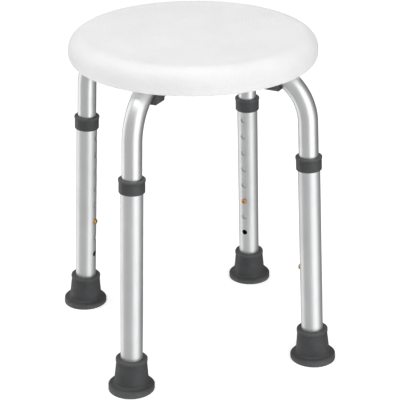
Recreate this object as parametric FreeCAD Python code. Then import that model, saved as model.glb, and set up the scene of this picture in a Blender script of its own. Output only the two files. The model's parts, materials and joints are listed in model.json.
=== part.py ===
import FreeCAD, Part
import math
import os

# Round shower stool: a hollow plastic seat on two crossed, bent tube frames, with four
# height-adjustable lower legs. Millimetres, +Z up, origin on the floor at the stool's centre.

V = FreeCAD.Vector
ORIGIN = V(0, 0, 0)
AXIS_X = V(1, 0, 0)
AXIS_Y = V(0, 1, 0)
AXIS_Z = V(0, 0, 1)

# How far a cutter reaches past the surface that it opens, and what counts as the same height
PAST = 2.0
TINY = 1e-3

# Where each leg stands, as the angle of its plane about +Z, in degrees
LEGS = {"rear_right": 45.0, "rear_left": 135.0, "front_left": 225.0, "front_right": 315.0}
FRAMES = {"frame_tube_lower": (45.0, -1), "frame_tube_upper": (135.0, 1)}

# Seat
SEAT_R = 159.5
SEAT_TOP = 428.5
SEAT_UNDER = 395.5
SEAT_WALL = 3.0
SHOULDER_WIDE = 21.0
SHOULDER_TALL = 19.0
LOWER_EDGE_WIDE = 7.0
LOWER_EDGE_TALL = 9.0
CHANNEL_GAP = 0.4
NUT_POCKET_R = 9.0
NUT_POCKET_TOP = 416.0
BOSS_R = 7.0
PILOT_R = 1.9
PILOT_DEEP = 16.0

# Stance of the legs: the axis meets the floor at FOOT_OUT and leans in as it rises
FOOT_OUT = 178.0
SPLAY = 2.85
LEAN = math.radians(SPLAY)

# Bent frame tubes
FRAME_R = 12.7
TUBE_WALL = 1.2
RUN_Z = 395.5
BEND_R = 66.0
FRAME_END = 90.0
FLAT_LONG = 17.0
FLAT_TALL = 5.9
FLAT_LIFT = 5.95
FLAT_FROM = 21.0
FLATTEN_FROM = 44.0
CROSSING_POCKET_R = FLATTEN_FROM + PAST
FLATTEN_STEPS = 4

# Lower leg tubes, with the row of height holes on the side that faces the stool's centre
LEG_R = 14.3
LEG_BOTTOM = 10.0
LEG_TOP = 286.5
HOLE_R = 3.9
HOLE_COUNT = 8
HOLE_PITCH = 25.4
HOLE_FIRST = 257.5
BUTTON_HOLE = 6
BUTTON_AT = HOLE_FIRST - (BUTTON_HOLE - 1) * HOLE_PITCH

# Collar on the top end of each lower leg
COLLAR_R = 16.5
COLLAR_BORE = 14.35
COLLAR_LIP_BORE = 13.3
COLLAR_BOTTOM = 270.0
COLLAR_TOP = 288.0
COLLAR_RING_R = 17.1
COLLAR_RING_TALL = 3.6
COLLAR_ROUND = 0.7

# Rubber foot
FOOT_TALL = 43.5
FOOT_TOP_R = 19.9
FOOT_BEAD_R = 20.6
FOOT_BEAD_TALL = 5.0
FOOT_BEAD_ROUND = 1.0
FOOT_WAIST_R = 22.4
FLANGE_R = 30.0
FLANGE_TOP = 7.5
FLANGE_ROUND = 2.0
WAIST_AT = 10.5
FOOT_BELOW = 4.0
SOCKET_R = 14.35
WASHER_TALL = 1.5
WASHER_R = 13.6
TREAD_RINGS = ((7.0, 9.5), (13.0, 15.5), (19.0, 21.5))
TREAD_DEEP = 1.6

# Clamp under the seat at each bend: a trough round the tube's lower half, a shallower tail
# behind it, and two ears that are screwed to the seat
CLAMP_FROM = 107.0
CLAMP_TO = 126.0
CLAMP_HALF = 16.0
CLAMP_DEEP = 24.0
CLAMP_GAP = 0.1
CLAMP_ROUND = 3.0
TAIL_FROM = 95.0
TAIL_DEEP = 20.0
EAR_R = 8.0
EAR_TALL = 5.0
SCREW_OUT = 117.0
SCREW_SIDE = 24.0
SCREW_R = 1.85
SCREW_LONG = 19.0
SCREW_HEAD_R = 4.2
SCREW_HEAD_TALL = 2.6
SCREW_HEAD_ROUND = 1.5
CLEARANCE_R = 2.3
DRIVE_WIDE = 1.1
DRIVE_LONG = 5.0
DRIVE_DEEP = 1.4

# Bolt through the flattened crossing
BOLT_R = 3.0
BOLT_HOLE_R = 3.3
HEX_R = 5.77
HEAD_TALL = 4.0
NUT_TALL = 5.0
BOLT_WASHER_R = 9.0
BOLT_WASHER_TALL = 1.5
BOLT_PAST_NUT = 2.0

# Snap button and its spring, in the frame tube
BUTTON_R = 3.6
BUTTON_BASE = 9.2
BUTTON_TIP = 17.2
BUTTON_FLANGE_R = 5.0
BUTTON_FLANGE_TALL = 0.9
BUTTON_ROUND = 1.7
DIMPLE_R = 1.1
DIMPLE_DEEP = 0.8
SPRING_THICK = 0.8
SPRING_WIDE = 7.0
SPRING_POINTS = ((-8.8, -7.0), (-8.8, 7.0), (-1.0, 36.0), (2.0, 38.5), (5.0, 36.0), (10.2, -5.0))


def save(node, shape):
    shape.exportStep("parts/" + node + ".step")


def turned(shape, azimuth):
    """A shape drawn in the XZ plane, turned to the leg or frame at this angle."""
    out = shape.copy()
    out.rotate(ORIGIN, AXIS_Z, azimuth)
    return out


def leaned(shape):
    """A shape drawn about +Z, laid on the axis of a leg that stands in the XZ plane."""
    out = shape.copy()
    out.rotate(ORIGIN, AXIS_Y, -SPLAY)
    out.translate(V(FOOT_OUT, 0, 0))
    return out


def lathe(points):
    """A solid turned about +Z from (radius, height) points."""
    wire = Part.makePolygon([V(r, 0, z) for r, z in list(points) + [points[0]]])
    return Part.Face(wire).revolve(ORIGIN, AXIS_Z, 360)


def fused(shapes):
    whole = shapes[0].fuse(list(shapes[1:])) if len(shapes) > 1 else shapes[0]
    return whole.removeSplitter()


def box(x0, x1, y0, y1, z0, z1):
    return Part.makeBox(x1 - x0, y1 - y0, z1 - z0, V(x0, y0, z0))


def along_leg(length):
    """The point on a leg's axis this far from the floor, measured along the leg."""
    return V(FOOT_OUT - length * math.sin(LEAN), 0, length * math.cos(LEAN))


BEND_START = (RUN_Z - BEND_R * (1 - math.sin(LEAN))) / math.cos(LEAN)
BEND_CENTRE = along_leg(BEND_START) - V(math.cos(LEAN), 0, math.sin(LEAN)) * BEND_R


def bend(radius):
    """The bend from the leaning leg to the level run under the seat, as a solid rod."""
    start = along_leg(BEND_START)
    up = V(-math.sin(LEAN), 0, math.cos(LEAN))
    disc = Part.Face(Part.Wire(Part.Circle(start, up, radius).toShape()))
    return disc.revolve(BEND_CENTRE, V(0, -1, 0), 90 - SPLAY)


def level_run(radius):
    start = V(FLATTEN_FROM, 0, RUN_Z)
    return Part.makeCylinder(radius, BEND_CENTRE.x - FLATTEN_FROM, start, AXIS_X)


def section(x, half_wide, half_tall, z):
    """An upright ellipse across the run, as a wire."""
    centre = V(x, 0, z)
    if abs(half_wide - half_tall) < TINY:
        edge = Part.Circle(ORIGIN, AXIS_Z, half_wide).toShape()
    else:
        edge = Part.Ellipse(ORIGIN, half_wide, half_tall).toShape()
    wire = Part.Wire(edge)
    wire.Placement = FreeCAD.Placement(centre, FreeCAD.Rotation(AXIS_Y, AXIS_Z, AXIS_X, "ZXY"))
    return wire


def flattened_middle(radius, long, tall, lift):
    """From the round run to the pressed flat of half the crossing, as solid rods."""
    wires = []
    for step in range(FLATTEN_STEPS + 1):
        share = step / FLATTEN_STEPS
        eased = share * share * (3 - 2 * share)
        x = FLATTEN_FROM + (FLAT_FROM - FLATTEN_FROM) * share
        wide = radius + (long - radius) * eased
        high = radius + (tall - radius) * eased
        wires.append(section(x, wide, high, RUN_Z + lift * eased))
    flat = Part.Face(section(0, long, tall, RUN_Z + lift)).extrude(V(FLAT_FROM, 0, 0))
    return [Part.makeLoft(wires, True, False), flat]


def frame_half(inset, lift, extra):
    """Half of one frame as a solid rod, from its open end in the leg to the middle."""
    radius = FRAME_R - inset
    up = V(-math.sin(LEAN), 0, math.cos(LEAN))
    foot = along_leg(FRAME_END - extra)
    leg = Part.makeCylinder(radius, BEND_START - FRAME_END + extra, foot, up)
    middle = flattened_middle(radius, FLAT_LONG - inset, FLAT_TALL - inset, lift)
    return [leg, bend(radius), level_run(radius)] + middle


def both_halves(half):
    return fused(half + [turned(piece, 180) for piece in half])


def button_hole():
    """The cutter for one snap button's hole through the wall that faces the centre."""
    return leaned(Part.makeCylinder(HOLE_R, LEG_R + PAST, V(0, 0, BUTTON_AT), -AXIS_X))


def frame(side):
    lift = side * FLAT_LIFT
    rod = both_halves(frame_half(0, lift, 0))
    bore = both_halves(frame_half(TUBE_WALL, lift, PAST))
    tube = rod.cut(bore)
    bolt_hole = Part.makeCylinder(BOLT_HOLE_R, 2 * RUN_Z, ORIGIN, AXIS_Z)
    return tube.cut([button_hole(), turned(button_hole(), 180), bolt_hole])


def seat_blank(inset):
    """The seat's outline as a solid of revolution, shrunk all round by inset."""
    radius = SEAT_R - inset
    top = SEAT_TOP - inset
    under = SEAT_UNDER + inset
    wide = SHOULDER_WIDE - inset
    tall = SHOULDER_TALL - inset
    low_wide = LOWER_EDGE_WIDE - inset
    low_tall = LOWER_EDGE_TALL - inset
    shoulder_mid = V(radius - wide, 0, top - tall)
    lower_mid = V(radius - low_wide, 0, under + low_tall)
    quarter = math.pi / 2
    shoulder = Part.Ellipse(shoulder_mid + V(wide, 0, 0), shoulder_mid + V(0, 0, tall), shoulder_mid)
    lower = Part.Ellipse(lower_mid - V(0, 0, low_tall), lower_mid + V(low_wide, 0, 0), lower_mid)
    edges = [
        Part.makeLine(V(0, 0, under), V(radius - low_wide, 0, under)),
        Part.ArcOfEllipse(lower, 0, quarter).toShape(),
        Part.makeLine(V(radius, 0, under + low_tall), V(radius, 0, top - tall)),
        Part.ArcOfEllipse(shoulder, 0, quarter).toShape(),
        Part.makeLine(V(radius - wide, 0, top), V(0, 0, top)),
        Part.makeLine(V(0, 0, top), V(0, 0, under)),
    ]
    return Part.Face(Part.Wire(edges)).revolve(ORIGIN, AXIS_Z, 360)


def tube_nest(grow):
    """The room that the frames and the crossing take in the seat's underside, grown by grow."""
    radius = FRAME_R + CHANNEL_GAP + grow
    run = Part.makeCylinder(radius, BEND_CENTRE.x, V(0, 0, RUN_Z), AXIS_X)
    arm = fused([bend(radius), run])
    nut_tall = NUT_POCKET_TOP + grow - RUN_Z
    shapes = [turned(arm, azimuth) for azimuth in LEGS.values()]
    shapes.append(Part.makeCylinder(CROSSING_POCKET_R + grow, radius, V(0, 0, RUN_Z)))
    shapes.append(Part.makeCylinder(NUT_POCKET_R + grow, nut_tall, V(0, 0, RUN_Z)))
    return shapes


def screw_places():
    """Where each clamp's two screws stand, in the XZ plane's frame."""
    return [V(SCREW_OUT, side * SCREW_SIDE, SEAT_UNDER) for side in (-1, 1)]


def seat():
    bosses = []
    pilots = []
    for azimuth in LEGS.values():
        for place in screw_places():
            boss = Part.makeCylinder(BOSS_R, SEAT_TOP - SEAT_UNDER, place)
            bosses.append(turned(boss, azimuth))
            pilots.append(turned(Part.makeCylinder(PILOT_R, PILOT_DEEP, place), azimuth))
    hollow = seat_blank(SEAT_WALL).cut(tube_nest(SEAT_WALL) + bosses)
    return seat_blank(0).cut(tube_nest(0) + pilots + [hollow])


def trough(x0, x1, deep):
    """A block under the seat from x0 to x1, with its two lower edges rounded."""
    bottom = SEAT_UNDER - deep
    block = box(x0, x1, -CLAMP_HALF, CLAMP_HALF, bottom, SEAT_UNDER)
    low = [edge for edge in block.Edges if edge.BoundBox.ZMax < bottom + TINY]
    along = [edge for edge in low if edge.BoundBox.XLength > TINY]
    return block.makeFillet(CLAMP_ROUND, along)


def clamp():
    """The trough and its tail hold the tube up against the seat, by an ear on each side."""
    pieces = [trough(CLAMP_FROM, CLAMP_TO, CLAMP_DEEP), trough(TAIL_FROM, CLAMP_FROM, TAIL_DEEP)]
    low = V(0, 0, EAR_TALL)
    clearances = []
    for place in screw_places():
        pieces.append(Part.makeCylinder(EAR_R, EAR_TALL, place - low))
        clearances.append(Part.makeCylinder(CLEARANCE_R, EAR_TALL, place - low))
    ear_from, ear_to = SCREW_OUT - EAR_R, SCREW_OUT + EAR_R
    pieces.append(box(ear_from, ear_to, -SCREW_SIDE, SCREW_SIDE, SEAT_UNDER - EAR_TALL, SEAT_UNDER))
    radius = FRAME_R + CLAMP_GAP
    run = Part.makeCylinder(radius, BEND_CENTRE.x, V(0, 0, RUN_Z), AXIS_X)
    return fused(pieces).cut([fused([bend(radius), run])] + clearances)


def screw(place):
    """A pan-head self-tapping screw that points up into the seat, with a cross recess."""
    under_head = place - V(0, 0, EAR_TALL)
    head_low = under_head - V(0, 0, SCREW_HEAD_TALL)
    shank = Part.makeCylinder(SCREW_R, SCREW_LONG, under_head)
    head = Part.makeCylinder(SCREW_HEAD_R, SCREW_HEAD_TALL, head_low)
    rim = [edge for edge in head.Edges if abs(edge.BoundBox.ZMax - head_low.z) < TINY]
    head = head.makeFillet(SCREW_HEAD_ROUND, rim)
    half_long = DRIVE_LONG / 2
    half_wide = DRIVE_WIDE / 2
    x, y = place.x, place.y
    low, high = head_low.z - PAST, head_low.z + DRIVE_DEEP
    slots = [
        box(x - half_long, x + half_long, y - half_wide, y + half_wide, low, high),
        box(x - half_wide, x + half_wide, y - half_long, y + half_long, low, high),
    ]
    return fused([shank, head]).cut(slots)


def hexagon(low, tall):
    corners = [V(HEX_R, 0, low)]
    for step in range(1, 7):
        angle = step * math.pi / 3
        corners.append(V(HEX_R * math.cos(angle), HEX_R * math.sin(angle), low))
    return Part.Face(Part.makePolygon(corners)).extrude(V(0, 0, tall))


def crossing_fasteners():
    """The bolt, washer and nut that hold the two frames together at the crossing."""
    low = RUN_Z - FLAT_LIFT - FLAT_TALL
    high = RUN_Z + FLAT_LIFT + FLAT_TALL
    washer_low = low - BOLT_WASHER_TALL
    shank_long = high + NUT_TALL + BOLT_PAST_NUT - washer_low
    shank = Part.makeCylinder(BOLT_R, shank_long, V(0, 0, washer_low))
    bolt = fused([hexagon(washer_low - HEAD_TALL, HEAD_TALL), shank])
    ring = Part.makeCylinder(BOLT_WASHER_R, BOLT_WASHER_TALL, V(0, 0, washer_low))
    hole = Part.makeCylinder(BOLT_HOLE_R, 2 * RUN_Z, ORIGIN)
    nut_bore = Part.makeCylinder(BOLT_R, 2 * RUN_Z, ORIGIN)
    return {
        "crossing_bolt": bolt,
        "crossing_washer": ring.cut(hole),
        "crossing_nut": hexagon(high, NUT_TALL).cut(nut_bore),
    }


def leg_tube():
    tube = Part.makeCylinder(LEG_R, LEG_TOP - LEG_BOTTOM, V(0, 0, LEG_BOTTOM))
    tube = tube.cut(Part.makeCylinder(LEG_R - TUBE_WALL, LEG_TOP, ORIGIN))
    holes = []
    for number in range(HOLE_COUNT):
        place = V(0, 0, HOLE_FIRST - number * HOLE_PITCH)
        holes.append(Part.makeCylinder(HOLE_R, LEG_R + PAST, place, -AXIS_X))
    return tube.cut(holes)


def collar():
    ring_low = COLLAR_TOP - COLLAR_RING_TALL
    return lathe([
        (COLLAR_BORE, COLLAR_BOTTOM),
        (COLLAR_R - COLLAR_ROUND, COLLAR_BOTTOM),
        (COLLAR_R, COLLAR_BOTTOM + COLLAR_ROUND),
        (COLLAR_R, ring_low),
        (COLLAR_RING_R, ring_low + COLLAR_ROUND),
        (COLLAR_RING_R, COLLAR_TOP - COLLAR_ROUND),
        (COLLAR_RING_R - COLLAR_ROUND, COLLAR_TOP),
        (COLLAR_LIP_BORE, COLLAR_TOP),
        (COLLAR_LIP_BORE, LEG_TOP),
        (COLLAR_BORE, LEG_TOP),
    ])


def foot():
    """The flared rubber tip, with its sole cut level with the floor and tread rings."""
    bead_low = FOOT_TALL - FOOT_BEAD_TALL
    socket = LEG_BOTTOM - WASHER_TALL
    flared = lathe([
        (0, -FOOT_BELOW),
        (FLANGE_R, -FOOT_BELOW),
        (FLANGE_R, FLANGE_TOP - FLANGE_ROUND),
        (FLANGE_R - FLANGE_ROUND, FLANGE_TOP),
        (FOOT_WAIST_R + FLANGE_ROUND, FLANGE_TOP + FOOT_BEAD_ROUND),
        (FOOT_WAIST_R, WAIST_AT),
        (FOOT_TOP_R, bead_low),
        (FOOT_BEAD_R, bead_low + FOOT_BEAD_ROUND),
        (FOOT_BEAD_R, FOOT_TALL - FOOT_BEAD_ROUND),
        (FOOT_BEAD_R - FOOT_BEAD_ROUND, FOOT_TALL),
        (SOCKET_R, FOOT_TALL),
        (SOCKET_R, socket),
        (0, socket),
    ])
    reach = 2 * FLANGE_R
    below = box(FOOT_OUT - reach, FOOT_OUT + reach, -reach, reach, -reach, 0)
    grooves = []
    for inner, outer in TREAD_RINGS:
        ring = Part.makeCylinder(outer, 2 * TREAD_DEEP, V(FOOT_OUT, 0, -TREAD_DEEP))
        core = Part.makeCylinder(inner, 2 * TREAD_DEEP, V(FOOT_OUT, 0, -TREAD_DEEP))
        grooves.append(ring.cut(core))
    return leaned(flared).cut([below] + grooves)


def snap_button():
    """A headed brass pin that looks out through the frame tube and the leg tube."""
    flange = Part.makeCylinder(BUTTON_FLANGE_R, BUTTON_FLANGE_TALL, V(0, 0, BUTTON_BASE))
    pin = Part.makeCylinder(BUTTON_R, BUTTON_TIP - BUTTON_BASE, V(0, 0, BUTTON_BASE))
    rim = [edge for edge in pin.Edges if edge.BoundBox.ZMin > BUTTON_TIP - TINY]
    pin = pin.makeFillet(BUTTON_ROUND, rim)
    dimple = Part.makeCylinder(DIMPLE_R, DIMPLE_DEEP + PAST, V(0, 0, BUTTON_TIP - DIMPLE_DEEP))
    whole = fused([flange, pin]).cut(dimple)
    whole.rotate(ORIGIN, AXIS_Y, -90)
    whole.translate(V(0, 0, BUTTON_AT))
    return leaned(whole)


def snap_spring():
    """The bent strip of spring steel behind a snap button, its two arms on the tube's walls."""
    half = SPRING_THICK / 2
    pieces = []
    for (x0, z0), (x1, z1) in zip(SPRING_POINTS, SPRING_POINTS[1:]):
        length = math.hypot(x1 - x0, z1 - z0)
        arm = box(-half, half, -SPRING_WIDE / 2, SPRING_WIDE / 2, 0, length)
        arm.rotate(ORIGIN, AXIS_Y, math.degrees(math.atan2(x1 - x0, z1 - z0)))
        arm.translate(V(x0, 0, z0))
        pieces.append(arm)
    for x, z in SPRING_POINTS[1:-1]:
        knuckle = Part.makeCylinder(half, SPRING_WIDE, V(x, -SPRING_WIDE / 2, z), AXIS_Y)
        pieces.append(knuckle)
    whole = fused(pieces)
    whole.translate(V(0, 0, BUTTON_AT))
    return leaned(whole)


def foot_washer():
    return Part.makeCylinder(WASHER_R, WASHER_TALL, V(0, 0, LEG_BOTTOM - WASHER_TALL))


def main():
    os.makedirs("parts", exist_ok=True)
    save("seat_shell", seat())
    for node, (azimuth, side) in FRAMES.items():
        save(node, turned(frame(side), azimuth))
    screws = []
    per_leg = {
        "seat_clamp": clamp(),
        "leg_tube": leaned(leg_tube()),
        "leg_collar": leaned(collar()),
        "foot_tip": foot(),
        "foot_washer": leaned(foot_washer()),
        "snap_button": snap_button(),
        "snap_spring": snap_spring(),
    }
    for leg, azimuth in LEGS.items():
        for piece, shape in per_leg.items():
            save(piece + "_" + leg, turned(shape, azimuth))
        screws += [turned(screw(place), azimuth) for place in screw_places()]
    save("clamp_screws", Part.makeCompound(screws))
    for node, shape in crossing_fasteners().items():
        save(node, shape)


main()
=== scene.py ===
import json
import math

import bpy
from mathutils import Matrix, Vector

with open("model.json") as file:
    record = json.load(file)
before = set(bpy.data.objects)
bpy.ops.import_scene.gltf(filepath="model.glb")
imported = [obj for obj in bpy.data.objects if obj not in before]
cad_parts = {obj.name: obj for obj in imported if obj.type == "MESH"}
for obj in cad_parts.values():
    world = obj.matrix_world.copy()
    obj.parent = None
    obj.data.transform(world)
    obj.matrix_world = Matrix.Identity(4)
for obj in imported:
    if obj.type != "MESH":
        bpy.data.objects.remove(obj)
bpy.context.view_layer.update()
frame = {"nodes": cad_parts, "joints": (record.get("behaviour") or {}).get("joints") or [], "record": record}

# A round shower stool: a moulded plastic seat on satin aluminium legs with grey collars,
# rubber feet and brass snap buttons. Metres, in the frame of the CAD model.

LEGS = ("rear_right", "rear_left", "front_left", "front_right")

# Camera: a long lens, a little above the seat, turned to the stool's left
CAMERA_AZIMUTH = -17.77
CAMERA_ELEVATION = 23.93
CAMERA_ROLL = -0.24
CAMERA_DISTANCE = 1.87547
CAMERA_AIM_HEIGHT = 0.19374
CAMERA_ASIDE = 0.00793
CAMERA_LENS = 126.0
SENSOR = 36.0

# Studio: the world's light, which falls to its darkest towards the angle DARK_ASIDE from the
# camera, starting where the cosine to that way is DARK_FROM. The floor and the dome glow a
# little, so that they stay white.
WORLD_STRENGTH = 0.55
WORLD_DARKEST = 0.16
DARK_ASIDE = 148.0
DARK_FROM = 0.2
LIGHT_AIM = 0.25
FLOOR_HALF = 12.0
FLOOR_GLOW = 0.4
BACKDROP_R = 14.0
BACKDROP_GLOW = 1.0

# Softboxes: name, degrees aside from the camera, degrees up, distance, width, height, radiance
SOFTBOXES = (
    ("key_right", 42, 0, 1.8, 1.9, 4.2, 0.95),
    ("rim_left", -108, 0, 1.9, 1.4, 4.2, 0.72),
    ("overhead", -30, 84, 1.9, 2.2, 2.2, 1.75),
)

# Aluminium: how long its streaks are for their width, and the heights between which a frame
# tube bends from its leg to its level run
STREAK_STRETCH = 60.0
BEND_LOW = 0.335
BEND_HIGH = 0.385

# The values that most of a noise texture lies between, and how sharp an edge is where the wear
# on it starts and where it is full
NOISE_LOW = 0.3
NOISE_HIGH = 0.7
WEAR_FROM = 0.52
WEAR_TO = 0.62
WEAR_MOST = 0.8


# ---------------------------------------------------------------- shader helpers

class Shader:
    """A material's node tree, with short calls for the nodes that the finishes share."""

    def __init__(self, name):
        self.material = bpy.data.materials.new(name)
        self.material.use_nodes = True
        self.tree = self.material.node_tree
        self.tree.nodes.clear()
        self.output = self.tree.nodes.new("ShaderNodeOutputMaterial")
        self.surface = self.tree.nodes.new("ShaderNodeBsdfPrincipled")
        self.link(self.surface.outputs[0], self.output.inputs["Surface"])

    def link(self, source, target):
        self.tree.links.new(source, target)

    def set(self, **values):
        for socket, value in values.items():
            self.surface.inputs[socket.replace("_", " ")].default_value = value

    def feed(self, socket, source):
        self.link(source, self.surface.inputs[socket])

    def place(self):
        """Plain object coordinates."""
        return self.tree.nodes.new("ShaderNodeTexCoord").outputs["Object"]

    def along(self, direction, stretch):
        """Coordinates whose third axis runs along direction, drawn out by stretch that way."""
        mapping = self.tree.nodes.new("ShaderNodeMapping")
        mapping.vector_type = "TEXTURE"
        mapping.inputs["Rotation"].default_value = direction.to_track_quat("Z", "Y").to_euler()
        mapping.inputs["Scale"].default_value = (1, 1, stretch)
        self.link(self.place(), mapping.inputs["Vector"])
        return mapping.outputs["Vector"]

    def height(self):
        """The height above the floor at rest, in metres."""
        split = self.tree.nodes.new("ShaderNodeSeparateXYZ")
        self.link(self.place(), split.inputs[0])
        return split.outputs["Z"]

    def noise(self, vector, scale, detail=3.0, rough=0.5):
        node = self.tree.nodes.new("ShaderNodeTexNoise")
        node.inputs["Scale"].default_value = scale
        node.inputs["Detail"].default_value = detail
        node.inputs["Roughness"].default_value = rough
        self.link(vector, node.inputs["Vector"])
        return node.outputs["Fac"]

    def cells(self, vector, scale):
        node = self.tree.nodes.new("ShaderNodeTexVoronoi")
        node.inputs["Scale"].default_value = scale
        self.link(vector, node.inputs["Vector"])
        return node.outputs["Distance"]

    def spread(self, source, low, high, start=NOISE_LOW, end=NOISE_HIGH):
        """The source's values from start to end, spread from low to high."""
        node = self.tree.nodes.new("ShaderNodeMapRange")
        node.inputs["From Min"].default_value = start
        node.inputs["From Max"].default_value = end
        node.inputs["To Min"].default_value = low
        node.inputs["To Max"].default_value = high
        self.link(source, node.inputs["Value"])
        return node.outputs["Result"]

    def tint(self, source, low, high):
        """A colour that goes from low to high with a noise source."""
        node = self.tree.nodes.new("ShaderNodeValToRGB")
        first, last = node.color_ramp.elements
        first.position, first.color = NOISE_LOW, low
        last.position, last.color = NOISE_HIGH, high
        self.link(source, node.inputs["Fac"])
        return node.outputs["Color"]

    def mixed(self, share, first, second):
        """first where share is 0, and second where it is 1. Both are colours from nodes."""
        node = self.tree.nodes.new("ShaderNodeMix")
        node.data_type = "RGBA"
        self.link(share, node.inputs["Factor"])
        self.link(first, node.inputs[6])
        self.link(second, node.inputs[7])
        return node.outputs[2]

    def blend(self, share, first, second):
        """first where share is 0, and second where it is 1. Both are plain values."""
        node = self.tree.nodes.new("ShaderNodeMix")
        self.link(share, node.inputs[0])
        self.link(first, node.inputs[2])
        self.link(second, node.inputs[3])
        return node.outputs[0]

    def worn(self, tone, pale):
        """The tone, going over to the pale colour on the outer edges."""
        sharpness = self.tree.nodes.new("ShaderNodeNewGeometry").outputs["Pointiness"]
        return self.mixed(self.spread(sharpness, 0, WEAR_MOST, WEAR_FROM, WEAR_TO), tone, pale)

    def bump(self, *layers):
        """Bumps laid over each other, as (height source, distance in metres, strength)."""
        below = None
        for height, distance, strength in layers:
            node = self.tree.nodes.new("ShaderNodeBump")
            node.inputs["Distance"].default_value = distance
            node.inputs["Strength"].default_value = strength
            self.link(height, node.inputs["Height"])
            if below is not None:
                self.link(below, node.inputs["Normal"])
            below = node.outputs["Normal"]
        self.feed("Normal", below)


def grey(value):
    """An opaque grey, as a colour."""
    return (value, value, value, 1.0)


# ---------------------------------------------------------------- finishes

def seat_plastic():
    """White polyethylene with the fine sandblasted grain of its mould."""
    shader = Shader("seat_plastic")
    even = shader.place()
    clouds = shader.noise(even, 14.0, 4.0)
    grain = shader.noise(even, 520.0, 3.0, 0.65)
    pits = shader.cells(even, 620.0)
    shader.set(Specular_IOR_Level=0.35, Subsurface_Weight=0.06, Subsurface_Scale=0.004)
    shader.surface.inputs["Subsurface Radius"].default_value = (1.0, 0.95, 0.9)
    shader.feed("Base Color", shader.tint(
        clouds,
        (0.745, 0.745, 0.750, 1),
        (0.785, 0.785, 0.790, 1),
    ))
    shader.feed("Roughness", shader.spread(shader.noise(even, 60.0), 0.40, 0.52))
    shader.bump((pits, 0.0004, 0.4), (grain, 0.0007, 0.8))
    return shader.material


def drawn_streaks(shader, direction):
    """Fine streaks along direction, as drawing through a die leaves them."""
    return shader.noise(shader.along(direction, STREAK_STRETCH), 1300.0, 3.0, 0.6)


def aluminium(name, smoothest, roughest, leg_direction, run_direction=None):
    """Satin anodised tube, drawn along its leg and, where it has one, along its level run."""
    shader = Shader(name)
    streaks = drawn_streaks(shader, leg_direction)
    if run_direction is not None:
        level = shader.spread(shader.height(), 0, 1, BEND_LOW, BEND_HIGH)
        streaks = shader.blend(level, streaks, drawn_streaks(shader, run_direction))
    patches = shader.noise(shader.place(), 30.0, 4.0)
    shader.set(Metallic=1.0)
    shader.feed("Base Color", shader.tint(
        patches,
        (0.735, 0.740, 0.745, 1),
        (0.780, 0.785, 0.790, 1),
    ))
    shader.feed("Roughness", shader.spread(streaks, smoothest, roughest))
    shader.bump((streaks, 0.00002, 0.35))
    return shader.material


def grey_plastic():
    """Dark grey moulded collars and clamps, paler where the edges have rubbed."""
    shader = Shader("grey_plastic")
    even = shader.place()
    tone = shader.tint(
        shader.noise(even, 90.0, 4.0),
        (0.036, 0.037, 0.039, 1),
        (0.048, 0.049, 0.051, 1),
    )
    rubbed = shader.tint(
        shader.noise(even, 400.0),
        (0.085, 0.086, 0.088, 1),
        (0.12, 0.12, 0.122, 1),
    )
    shader.feed("Base Color", shader.worn(tone, rubbed))
    shader.feed("Roughness", shader.spread(shader.noise(even, 150.0), 0.38, 0.55))
    shader.set(Specular_IOR_Level=0.45)
    shader.bump((shader.noise(even, 1800.0, 2.0), 0.0001, 0.5))
    return shader.material


def rubber():
    """Matt dark grey rubber, with a dusty bloom on its edges."""
    shader = Shader("rubber")
    even = shader.place()
    tone = shader.tint(
        shader.noise(even, 70.0, 4.0),
        (0.040, 0.041, 0.043, 1),
        (0.052, 0.053, 0.055, 1),
    )
    bloom = shader.tint(
        shader.noise(even, 300.0),
        (0.080, 0.080, 0.081, 1),
        (0.11, 0.11, 0.11, 1),
    )
    shader.feed("Base Color", shader.worn(tone, bloom))
    shader.feed("Roughness", shader.spread(shader.noise(even, 120.0), 0.48, 0.66))
    shader.set(Specular_IOR_Level=0.4)
    shader.bump((shader.noise(even, 1500.0, 3.0), 0.00012, 0.6))
    return shader.material


def brass():
    """Turned brass, a little tarnished."""
    shader = Shader("brass")
    even = shader.place()
    shader.set(Metallic=1.0)
    shader.feed("Base Color", shader.tint(
        shader.noise(even, 500.0, 4.0),
        (0.50, 0.25, 0.07, 1),
        (0.80, 0.48, 0.17, 1),
    ))
    shader.feed("Roughness", shader.spread(shader.noise(even, 900.0), 0.28, 0.45))
    shader.bump((shader.noise(even, 2500.0), 0.00003, 0.4))
    return shader.material


def plated_steel(name, low, high, roughest):
    """Zinc-plated or spring steel with small spangles and stains."""
    shader = Shader(name)
    even = shader.place()
    shader.set(Metallic=1.0)
    shader.feed("Base Color", shader.tint(shader.noise(even, 260.0, 4.0), low, high))
    shader.feed("Roughness", shader.spread(shader.noise(even, 700.0), 0.22, roughest))
    shader.bump((shader.noise(even, 2200.0), 0.00003, 0.4))
    return shader.material


def leg_directions():
    """Which way each leg points, down its axis, from the joint that it slides by."""
    found = {}
    for joint in frame["joints"]:
        if joint["type"] == "slide" and joint["child"].startswith("leg_"):
            found[joint["child"].removeprefix("leg_")] = Vector(joint["axis"])
    return found


def aluminium_tubes():
    """One aluminium finish for each tube, because its streaks follow the tube."""
    down = leg_directions()
    tubes = {"leg_tube_" + leg: aluminium("aluminium_" + leg, 0.40, 0.52, down[leg]) for leg in LEGS}
    for tube, leg in (("frame_tube_lower", "rear_right"), ("frame_tube_upper", "rear_left")):
        run = Vector((down[leg].x, down[leg].y, 0)).normalized()
        tubes[tube] = aluminium("aluminium_" + tube, 0.30, 0.40, Vector((0, 0, 1)), run)
    return tubes


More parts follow.
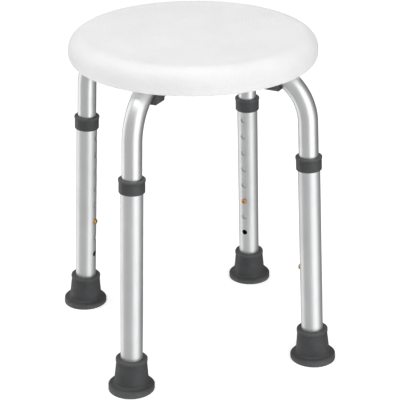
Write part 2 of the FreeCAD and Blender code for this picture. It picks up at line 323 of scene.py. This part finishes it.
def finish_nodes():
    """Gives each CAD piece its own finish, or the one of its material slot."""
    finishes = {
        "seat_plastic": seat_plastic(),
        "grey_plastic": grey_plastic(),
        "rubber": rubber(),
        "brass": brass(),
        "spring_steel": plated_steel("spring_steel", grey(0.30), grey(0.44), 0.42),
        "steel": plated_steel("steel", grey(0.50), grey(0.66), 0.36),
    }
    tubes = aluminium_tubes()
    for row in frame["record"]["subparts"]:
        node, slot = row["node"], row["material_slot"]
        mesh = frame["nodes"][node].data
        mesh.materials.clear()
        mesh.materials.append(tubes[node] if node in tubes else finishes[slot])


# ---------------------------------------------------------------- stage

def floor():
    """A pale floor that shows in no reflection."""
    mesh = bpy.data.meshes.new("floor")
    corners = [(-1, -1), (1, -1), (1, 1), (-1, 1)]
    mesh.from_pydata([(x * FLOOR_HALF, y * FLOOR_HALF, 0.0) for x, y in corners], [], [(0, 1, 2, 3)])
    ground = bpy.data.objects.new("floor", mesh)
    bpy.context.scene.collection.objects.link(ground)
    shader = Shader("pale_floor")
    shader.set(Roughness=0.9, Specular_IOR_Level=0.1)
    shader.set(Emission_Color=grey(1.0), Emission_Strength=FLOOR_GLOW)
    shader.feed("Base Color", shader.tint(
        shader.noise(shader.place(), 3.0),
        grey(0.86),
        grey(0.88),
    ))
    mesh.materials.append(shader.material)
    ground.visible_glossy = False


def backdrop():
    """A white dome behind everything, that only the camera sees."""
    bpy.ops.mesh.primitive_uv_sphere_add(segments=64, ring_count=32, radius=BACKDROP_R)
    dome = bpy.context.object
    dome.name = "backdrop"
    shader = Shader("white_backdrop")
    shader.set(Roughness=1.0, Emission_Color=grey(1.0), Emission_Strength=BACKDROP_GLOW)
    shader.feed("Base Color", shader.tint(
        shader.noise(shader.place(), 1.0),
        grey(0.90),
        grey(0.92),
    ))
    dome.data.materials.append(shader.material)
    for seen_by in ("visible_diffuse", "visible_glossy", "visible_transmission", "visible_shadow"):
        setattr(dome, seen_by, False)


def outward(azimuth, elevation):
    """The way from the stool at these degrees, where azimuth 0 is in front of it."""
    around = math.radians(azimuth)
    rise = math.radians(elevation)
    return Vector((
        math.sin(around) * math.cos(rise),
        -math.cos(around) * math.cos(rise),
        math.sin(rise),
    ))


def softbox(name, aside, rise, distance, wide, tall, radiance):
    """A rectangular lamp that looks at the stool's middle, aside degrees from the camera."""
    towards = outward(CAMERA_AZIMUTH + aside, rise)
    lamp = bpy.data.lights.new(name, "AREA")
    lamp.shape = "RECTANGLE"
    lamp.size = wide
    lamp.size_y = tall
    lamp.energy = radiance * math.pi * wide * tall
    light = bpy.data.objects.new(name, lamp)
    light.location = Vector((0, 0, LIGHT_AIM)) + towards * distance
    light.rotation_mode = "QUATERNION"
    light.rotation_quaternion = towards.to_track_quat("Z", "Y")
    bpy.context.scene.collection.objects.link(light)


def studio():
    """An even world, darker to one side, and the softboxes."""
    world = bpy.data.worlds.new("studio")
    world.use_nodes = True
    tree = world.node_tree
    coordinates = tree.nodes.new("ShaderNodeTexCoord")
    facing = tree.nodes.new("ShaderNodeVectorMath")
    facing.operation = "DOT_PRODUCT"
    facing.inputs[1].default_value = outward(CAMERA_AZIMUTH + DARK_ASIDE, 0)
    shade = tree.nodes.new("ShaderNodeMapRange")
    shade.interpolation_type = "SMOOTHSTEP"
    shade.inputs["From Min"].default_value = DARK_FROM
    shade.inputs["To Min"].default_value = WORLD_STRENGTH
    shade.inputs["To Max"].default_value = WORLD_DARKEST
    background = tree.nodes["Background"]
    background.inputs["Color"].default_value = grey(1.0)
    tree.links.new(coordinates.outputs["Generated"], facing.inputs[0])
    tree.links.new(facing.outputs["Value"], shade.inputs["Value"])
    tree.links.new(shade.outputs["Result"], background.inputs["Strength"])
    bpy.context.scene.world = world
    for row in SOFTBOXES:
        softbox(*row)


def camera():
    """A long lens that looks at the stool's axis, turned a little about its own."""
    back = outward(CAMERA_AZIMUTH, CAMERA_ELEVATION)
    right = Vector((0, 0, 1)).cross(back).normalized()
    up = back.cross(right)
    turn = Matrix((right, up, back)).transposed() @ Matrix.Rotation(math.radians(CAMERA_ROLL), 3, "Z")
    lens = bpy.data.cameras.new("camera")
    lens.lens = CAMERA_LENS
    lens.sensor_width = SENSOR
    seen_from = bpy.data.objects.new("camera", lens)
    place = Vector((0, 0, CAMERA_AIM_HEIGHT)) + right * CAMERA_ASIDE + back * CAMERA_DISTANCE
    seen_from.matrix_world = Matrix.Translation(place) @ turn.to_4x4()
    bpy.context.scene.collection.objects.link(seen_from)
    bpy.context.scene.camera = seen_from


finish_nodes()
floor()
backdrop()
studio()
camera()
bpy.context.scene.view_settings.view_transform = "Standard"
